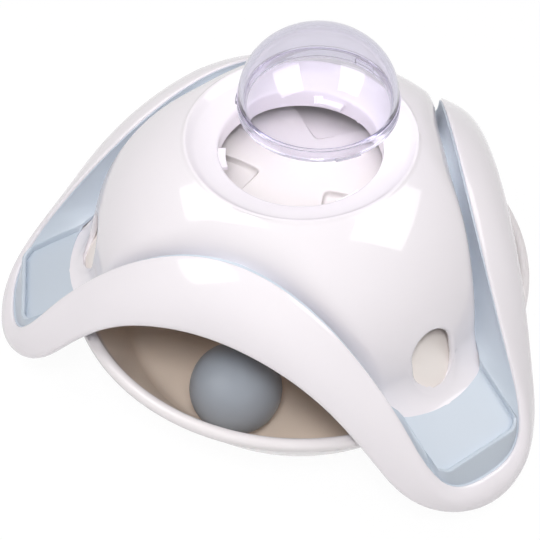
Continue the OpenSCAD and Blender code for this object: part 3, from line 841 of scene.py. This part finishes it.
# bowl with its rolled rim
bowl = {
    "rimIn": 90.0, "rimWide": 4.8, "rimTop": 49.6, "rimHigh": 4.4, "turn": 73.0, "turnHeight": 12.5,
    "floor": 12.5, "wall": 3.0, "corner": 9.0, "flat": 38.0, "chamber": 33.0, "chamberTop": 9.8,
    "hem": ((0.0, 0.5), (-0.4, 0.0), (-2.4, -0.6)),  # out and up from the rim's outer foot
    "bore": 0.3, "edge": 0.3,
    "steps": 180, "cornerSteps": 10, "wallSteps": 6, "rimSteps": 14, "bellySteps": 10,
}


def lineSteps(start, end, steps):
    return [(start[0] + (end[0] - start[0]) * i / steps, start[1] + (end[1] - start[1]) * i / steps)
            for i in range(1, steps + 1)]


def bowlProfile():
    rimRound = bowl["rimWide"] / 2
    rimMiddle = (bowl["rimIn"] + rimRound, bowl["rimTop"] - rimRound)
    rimLow = bowl["rimTop"] - bowl["rimHigh"]
    wallRun, wallRise = bowl["rimIn"] - bowl["turn"], rimLow - bowl["turnHeight"] - bowl["wall"]
    lean = math.atan2(wallRise, wallRun)
    meet = bowl["turn"] - bowl["wall"] * wallRun / wallRise  # where the wall would reach the floor
    start = meet - bowl["corner"] * math.tan(lean / 2)
    inside = [(bowl["bore"], bowl["floor"]), (start / 2, bowl["floor"])]
    cornerMiddle = (start, bowl["floor"] + bowl["corner"])
    inside += arcPoints(cornerMiddle, bowl["corner"], -90, math.degrees(lean) - 90, bowl["cornerSteps"])
    inside += lineSteps(inside[-1], (bowl["rimIn"], rimLow), bowl["wallSteps"])
    rim = arcPoints(rimMiddle, rimRound, 180, 0, bowl["rimSteps"])
    rimOut = rimMiddle[0] + rimRound
    hem = [(rimOut + out, rimLow + up) for out, up in bowl["hem"]]
    turnOut = bowl["turn"] + bowl["wall"] / 2
    outside = lineSteps(hem[-1], (turnOut, bowl["turnHeight"]), bowl["wallSteps"])
    for i in range(1, bowl["bellySteps"] + 1):
        share = i / bowl["bellySteps"]
        outside.append((turnOut - (turnOut - bowl["flat"]) * share, bowl["turnHeight"] * (1 - share) ** 2))
    chamber, top, edge = bowl["chamber"], bowl["chamberTop"], bowl["edge"]
    foot = [(chamber + edge, 0), (chamber, edge), (chamber, top), (bowl["bore"], top)]
    return inside + rim + hem + outside + foot


bowlMesh = bmesh.new()
turnProfile(bowlMesh, bowlProfile(), bowl["steps"])
makePiece(bowlMesh, "bowlShell", bowlPaintedShade, "body", ["base_bowl"], crease=40)

# loose ball with a fine parting line
ball = {"rows": 48, "steps": 96, "seam": 0.12, "tilt": (24.0, -35.0)}
ballLow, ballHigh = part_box("track_ball")
ballRadius = (ballHigh[2] - ballLow[2]) / 2 / mm
ballCentre = (Vector(ballLow) + Vector(ballHigh)) / 2
ballMesh = bmesh.new()
ballProfile = []
for i in range(ball["rows"] + 1):
    lift = math.radians(-90 + 180 * i / ball["rows"])
    radius = ballRadius - (ball["seam"] if i == ball["rows"] // 2 else 0)
    ballProfile.append((max(radius * math.cos(lift), 0.0), radius * math.sin(lift)))
turnProfile(ballMesh, ballProfile, ball["steps"], closed=False)
for tilt, axis in zip(ball["tilt"], "XY"):
    turn = Matrix.Rotation(math.radians(tilt), 3, axis)
    bmesh.ops.rotate(ballMesh, verts=ballMesh.verts, cent=(0, 0, 0), matrix=turn)
bmesh.ops.translate(ballMesh, verts=ballMesh.verts, vec=ballCentre)
makePiece(ballMesh, "trackBall", ballPlastic, "ball", ["track_ball"], crease=60)

# clear cap, lifted off its seat
cap = {
    "round": 29.6, "wall": 2.0, "rise": 25.0, "band": 5.0, "step": 0.45, "edge": 0.25,
    "bandTop": ((-0.1, -0.15), (0.0, -0.5)),  # out and up from the band's upper edge
    "lugHigh": 1.6, "lugReach": 1.0, "lugArc": 18.0, "lugTurn": -16.0, "lugEdge": 0.15, "lugClear": 0.6,
    "lugSlope": 0.1, "shift": 6.3, "shiftTurn": -38.0, "rows": 30, "steps": 144,
}
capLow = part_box("clear_cap")[0]
lugEnds = [tip + cap["lugTurn"] + side * (cap["lugArc"] / 2 + off)
           for tip in lobes["tips"] for side in (-1, 1) for off in (-cap["lugEdge"], cap["lugEdge"])]
capStations = [360 * i / cap["steps"] - 180 for i in range(cap["steps"])]
capStations = [a for a in capStations if all(abs(halfTurn(a - end)) > cap["lugClear"] for end in lugEnds)]
capStations = sorted(capStations + [halfTurn(end) for end in lugEnds])


def capArc(inset, turns):
    wide, rise = cap["round"] - inset, cap["rise"] - inset
    points = []
    for turn in turns:
        out = wide * math.cos(math.radians(turn)) if turn < 90 else 0.0
        points.append((out, cap["band"] + rise * math.sin(math.radians(turn))))
    return points


def capSection(angle):
    # a thicker band below the dome, with a lug at three places
    turns = [90 * i / cap["rows"] for i in range(cap["rows"] + 1)]
    near = min(abs(halfTurn(angle - tip - cap["lugTurn"])) for tip in lobes["tips"])
    out = cap["round"] + cap["step"]
    lug = out + (cap["lugReach"] - cap["step"] if near < cap["lugArc"] / 2 else 0.0)
    inside = cap["round"] - cap["wall"] - cap["step"]
    band, edge = cap["band"], cap["edge"]
    outer = [(out + x, band + y) for x, y in cap["bandTop"]]
    outer += [(out, band / 2), (out, cap["lugHigh"] + cap["lugSlope"]),
              (lug, cap["lugHigh"]), (lug, edge), (lug - edge, 0.0)]
    inner = [(inside + edge, 0.0), (inside, edge), (inside, band / 2)]
    inner += [(inside - x, band + y) for x, y in cap["bandTop"][::-1]]
    return capArc(0, turns[::-1]) + outer + inner + capArc(cap["wall"], turns)


capMesh = growShell(capStations, capSection, bridged=False)
capTurn = math.radians(cap["shiftTurn"])
capShift = cap["shift"] * mm
capPlace = Vector((capShift * math.cos(capTurn), capShift * math.sin(capTurn), capLow[2]))
bmesh.ops.translate(capMesh, verts=capMesh.verts, vec=capPlace)
makePiece(capMesh, "clearCap", clearPlastic, "cap", ["clear_cap"], crease=40)

# solids that keep their shape get their finish
for node, material in (("centre_post", innerPlastic), ("base_cover", coverPlastic),
                       ("tie_bolt", plainSteel), ("counterweight", plainSteel), ("base_screws", plainSteel)):
    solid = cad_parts[node].data
    solid.materials.clear()
    solid.materials.append(material)
print("pieces finished")

# floor, backdrop light and lamps
studio = {
    "aim": (0, 0, 0.07), "floorHalf": 3.0, "floorTone": 0.74, "floorRough": 0.9, "floorGloss": 0.1,
    "cameraWhite": 0.90, "white": 1.05, "world": (0.21, 1.0), "sky": (1.0, 0.985, 0.985),
}


def seenRay(nodes, links):
    # 1 for rays that show the background: the camera's own, and those in gloss and through glass
    rays = nodes.new("ShaderNodeLightPath").outputs
    seen = joinValues(nodes, links, "MAXIMUM", rays["Is Camera Ray"], rays["Is Glossy Ray"])
    return joinValues(nodes, links, "MAXIMUM", seen, rays["Is Transmission Ray"])


def layFloor():
    bm = bmesh.new()
    bmesh.ops.create_grid(bm, x_segments=2, y_segments=2, size=studio["floorHalf"])
    mesh = bpy.data.meshes.new("studioFloor")
    bm.to_mesh(mesh)
    bm.free()
    finish, nodes, links, shader = newFinish("floorPaint")
    shader.inputs["Base Color"].default_value = (studio["floorTone"],) * 3 + (1,)
    shader.inputs["Roughness"].default_value = studio["floorRough"]
    shader.inputs["Specular IOR Level"].default_value = studio["floorGloss"]
    glow = nodes.new("ShaderNodeEmission")
    glow.inputs["Strength"].default_value = studio["white"]
    share = joinValues(nodes, links, "MULTIPLY", seenRay(nodes, links), studio["cameraWhite"])
    blend = nodes.new("ShaderNodeMixShader")
    links.new(share, blend.inputs["Fac"])
    links.new(shader.outputs["BSDF"], blend.inputs[1])
    links.new(glow.outputs["Emission"], blend.inputs[2])
    links.new(blend.outputs["Shader"], nodes["Material Output"].inputs["Surface"])
    mesh.materials.append(finish)
    floor = bpy.data.objects.new("studioFloor", mesh)
    bpy.context.scene.collection.objects.link(floor)


def lightWorld():
    world = bpy.data.worlds.new("studioWorld")
    bpy.context.scene.world = world
    world.use_nodes = True
    nodes, links = world.node_tree.nodes, world.node_tree.links
    sky = nodes["Background"]
    sky.inputs["Color"].default_value = (*studio["sky"], 1)
    level = spanBetween(nodes, links, seenRay(nodes, links), (0, 1), studio["world"])
    links.new(level, sky.inputs["Strength"])


# softboxes and fills light the toy unseen, and two gloss cards show in its gloss alone
lamps = [
    {"name": "softboxLeft", "place": (-0.43, 0.30, 0.83), "size": (0.62, 0.52), "watts": 1.9,
     "shows": False},
    {"name": "softboxRight", "place": (0.44, -0.33, 0.81), "size": (0.56, 0.46), "watts": 1.3,
     "shows": False},
    {"name": "glossLeft", "place": (-0.42, 0.293, 0.811), "size": (0.61, 0.51), "watts": 2.8,
     "lights": False},
    {"name": "glossRight", "place": (0.43, -0.322, 0.792), "size": (0.55, 0.45), "watts": 2.4,
     "lights": False},
    {"name": "skyPanel", "place": (0.02, -0.02, 1.15), "size": (0.8, 0.8), "watts": 1.5, "shows": False},
    {"name": "fillFront", "place": (-0.34, -0.46, 0.93), "size": (0.2, 0.2), "watts": 4.5, "shows": False},
    {"name": "fillLeft", "place": (-0.85, -0.10, 0.40), "size": (0.4, 0.4), "watts": 0.5, "shows": False},
]


def hangLamp(lamp):
    light = bpy.data.lights.new(lamp["name"], "AREA")
    light.shape = "RECTANGLE"
    light.size, light.size_y = lamp["size"]
    light.energy = lamp["watts"]
    hung = bpy.data.objects.new(lamp["name"], light)
    bpy.context.scene.collection.objects.link(hung)
    hung.location = lamp["place"]
    hung.visible_glossy = lamp.get("shows", True)  # in the gloss
    hung.visible_diffuse = lamp.get("lights", True)  # on the surfaces
    hung.rotation_mode = "QUATERNION"
    hung.rotation_quaternion = (Vector(studio["aim"]) - hung.location).to_track_quat("-Z", "Y")


layFloor()
lightWorld()
for lamp in lamps:
    hangLamp(lamp)
print("studio lit")
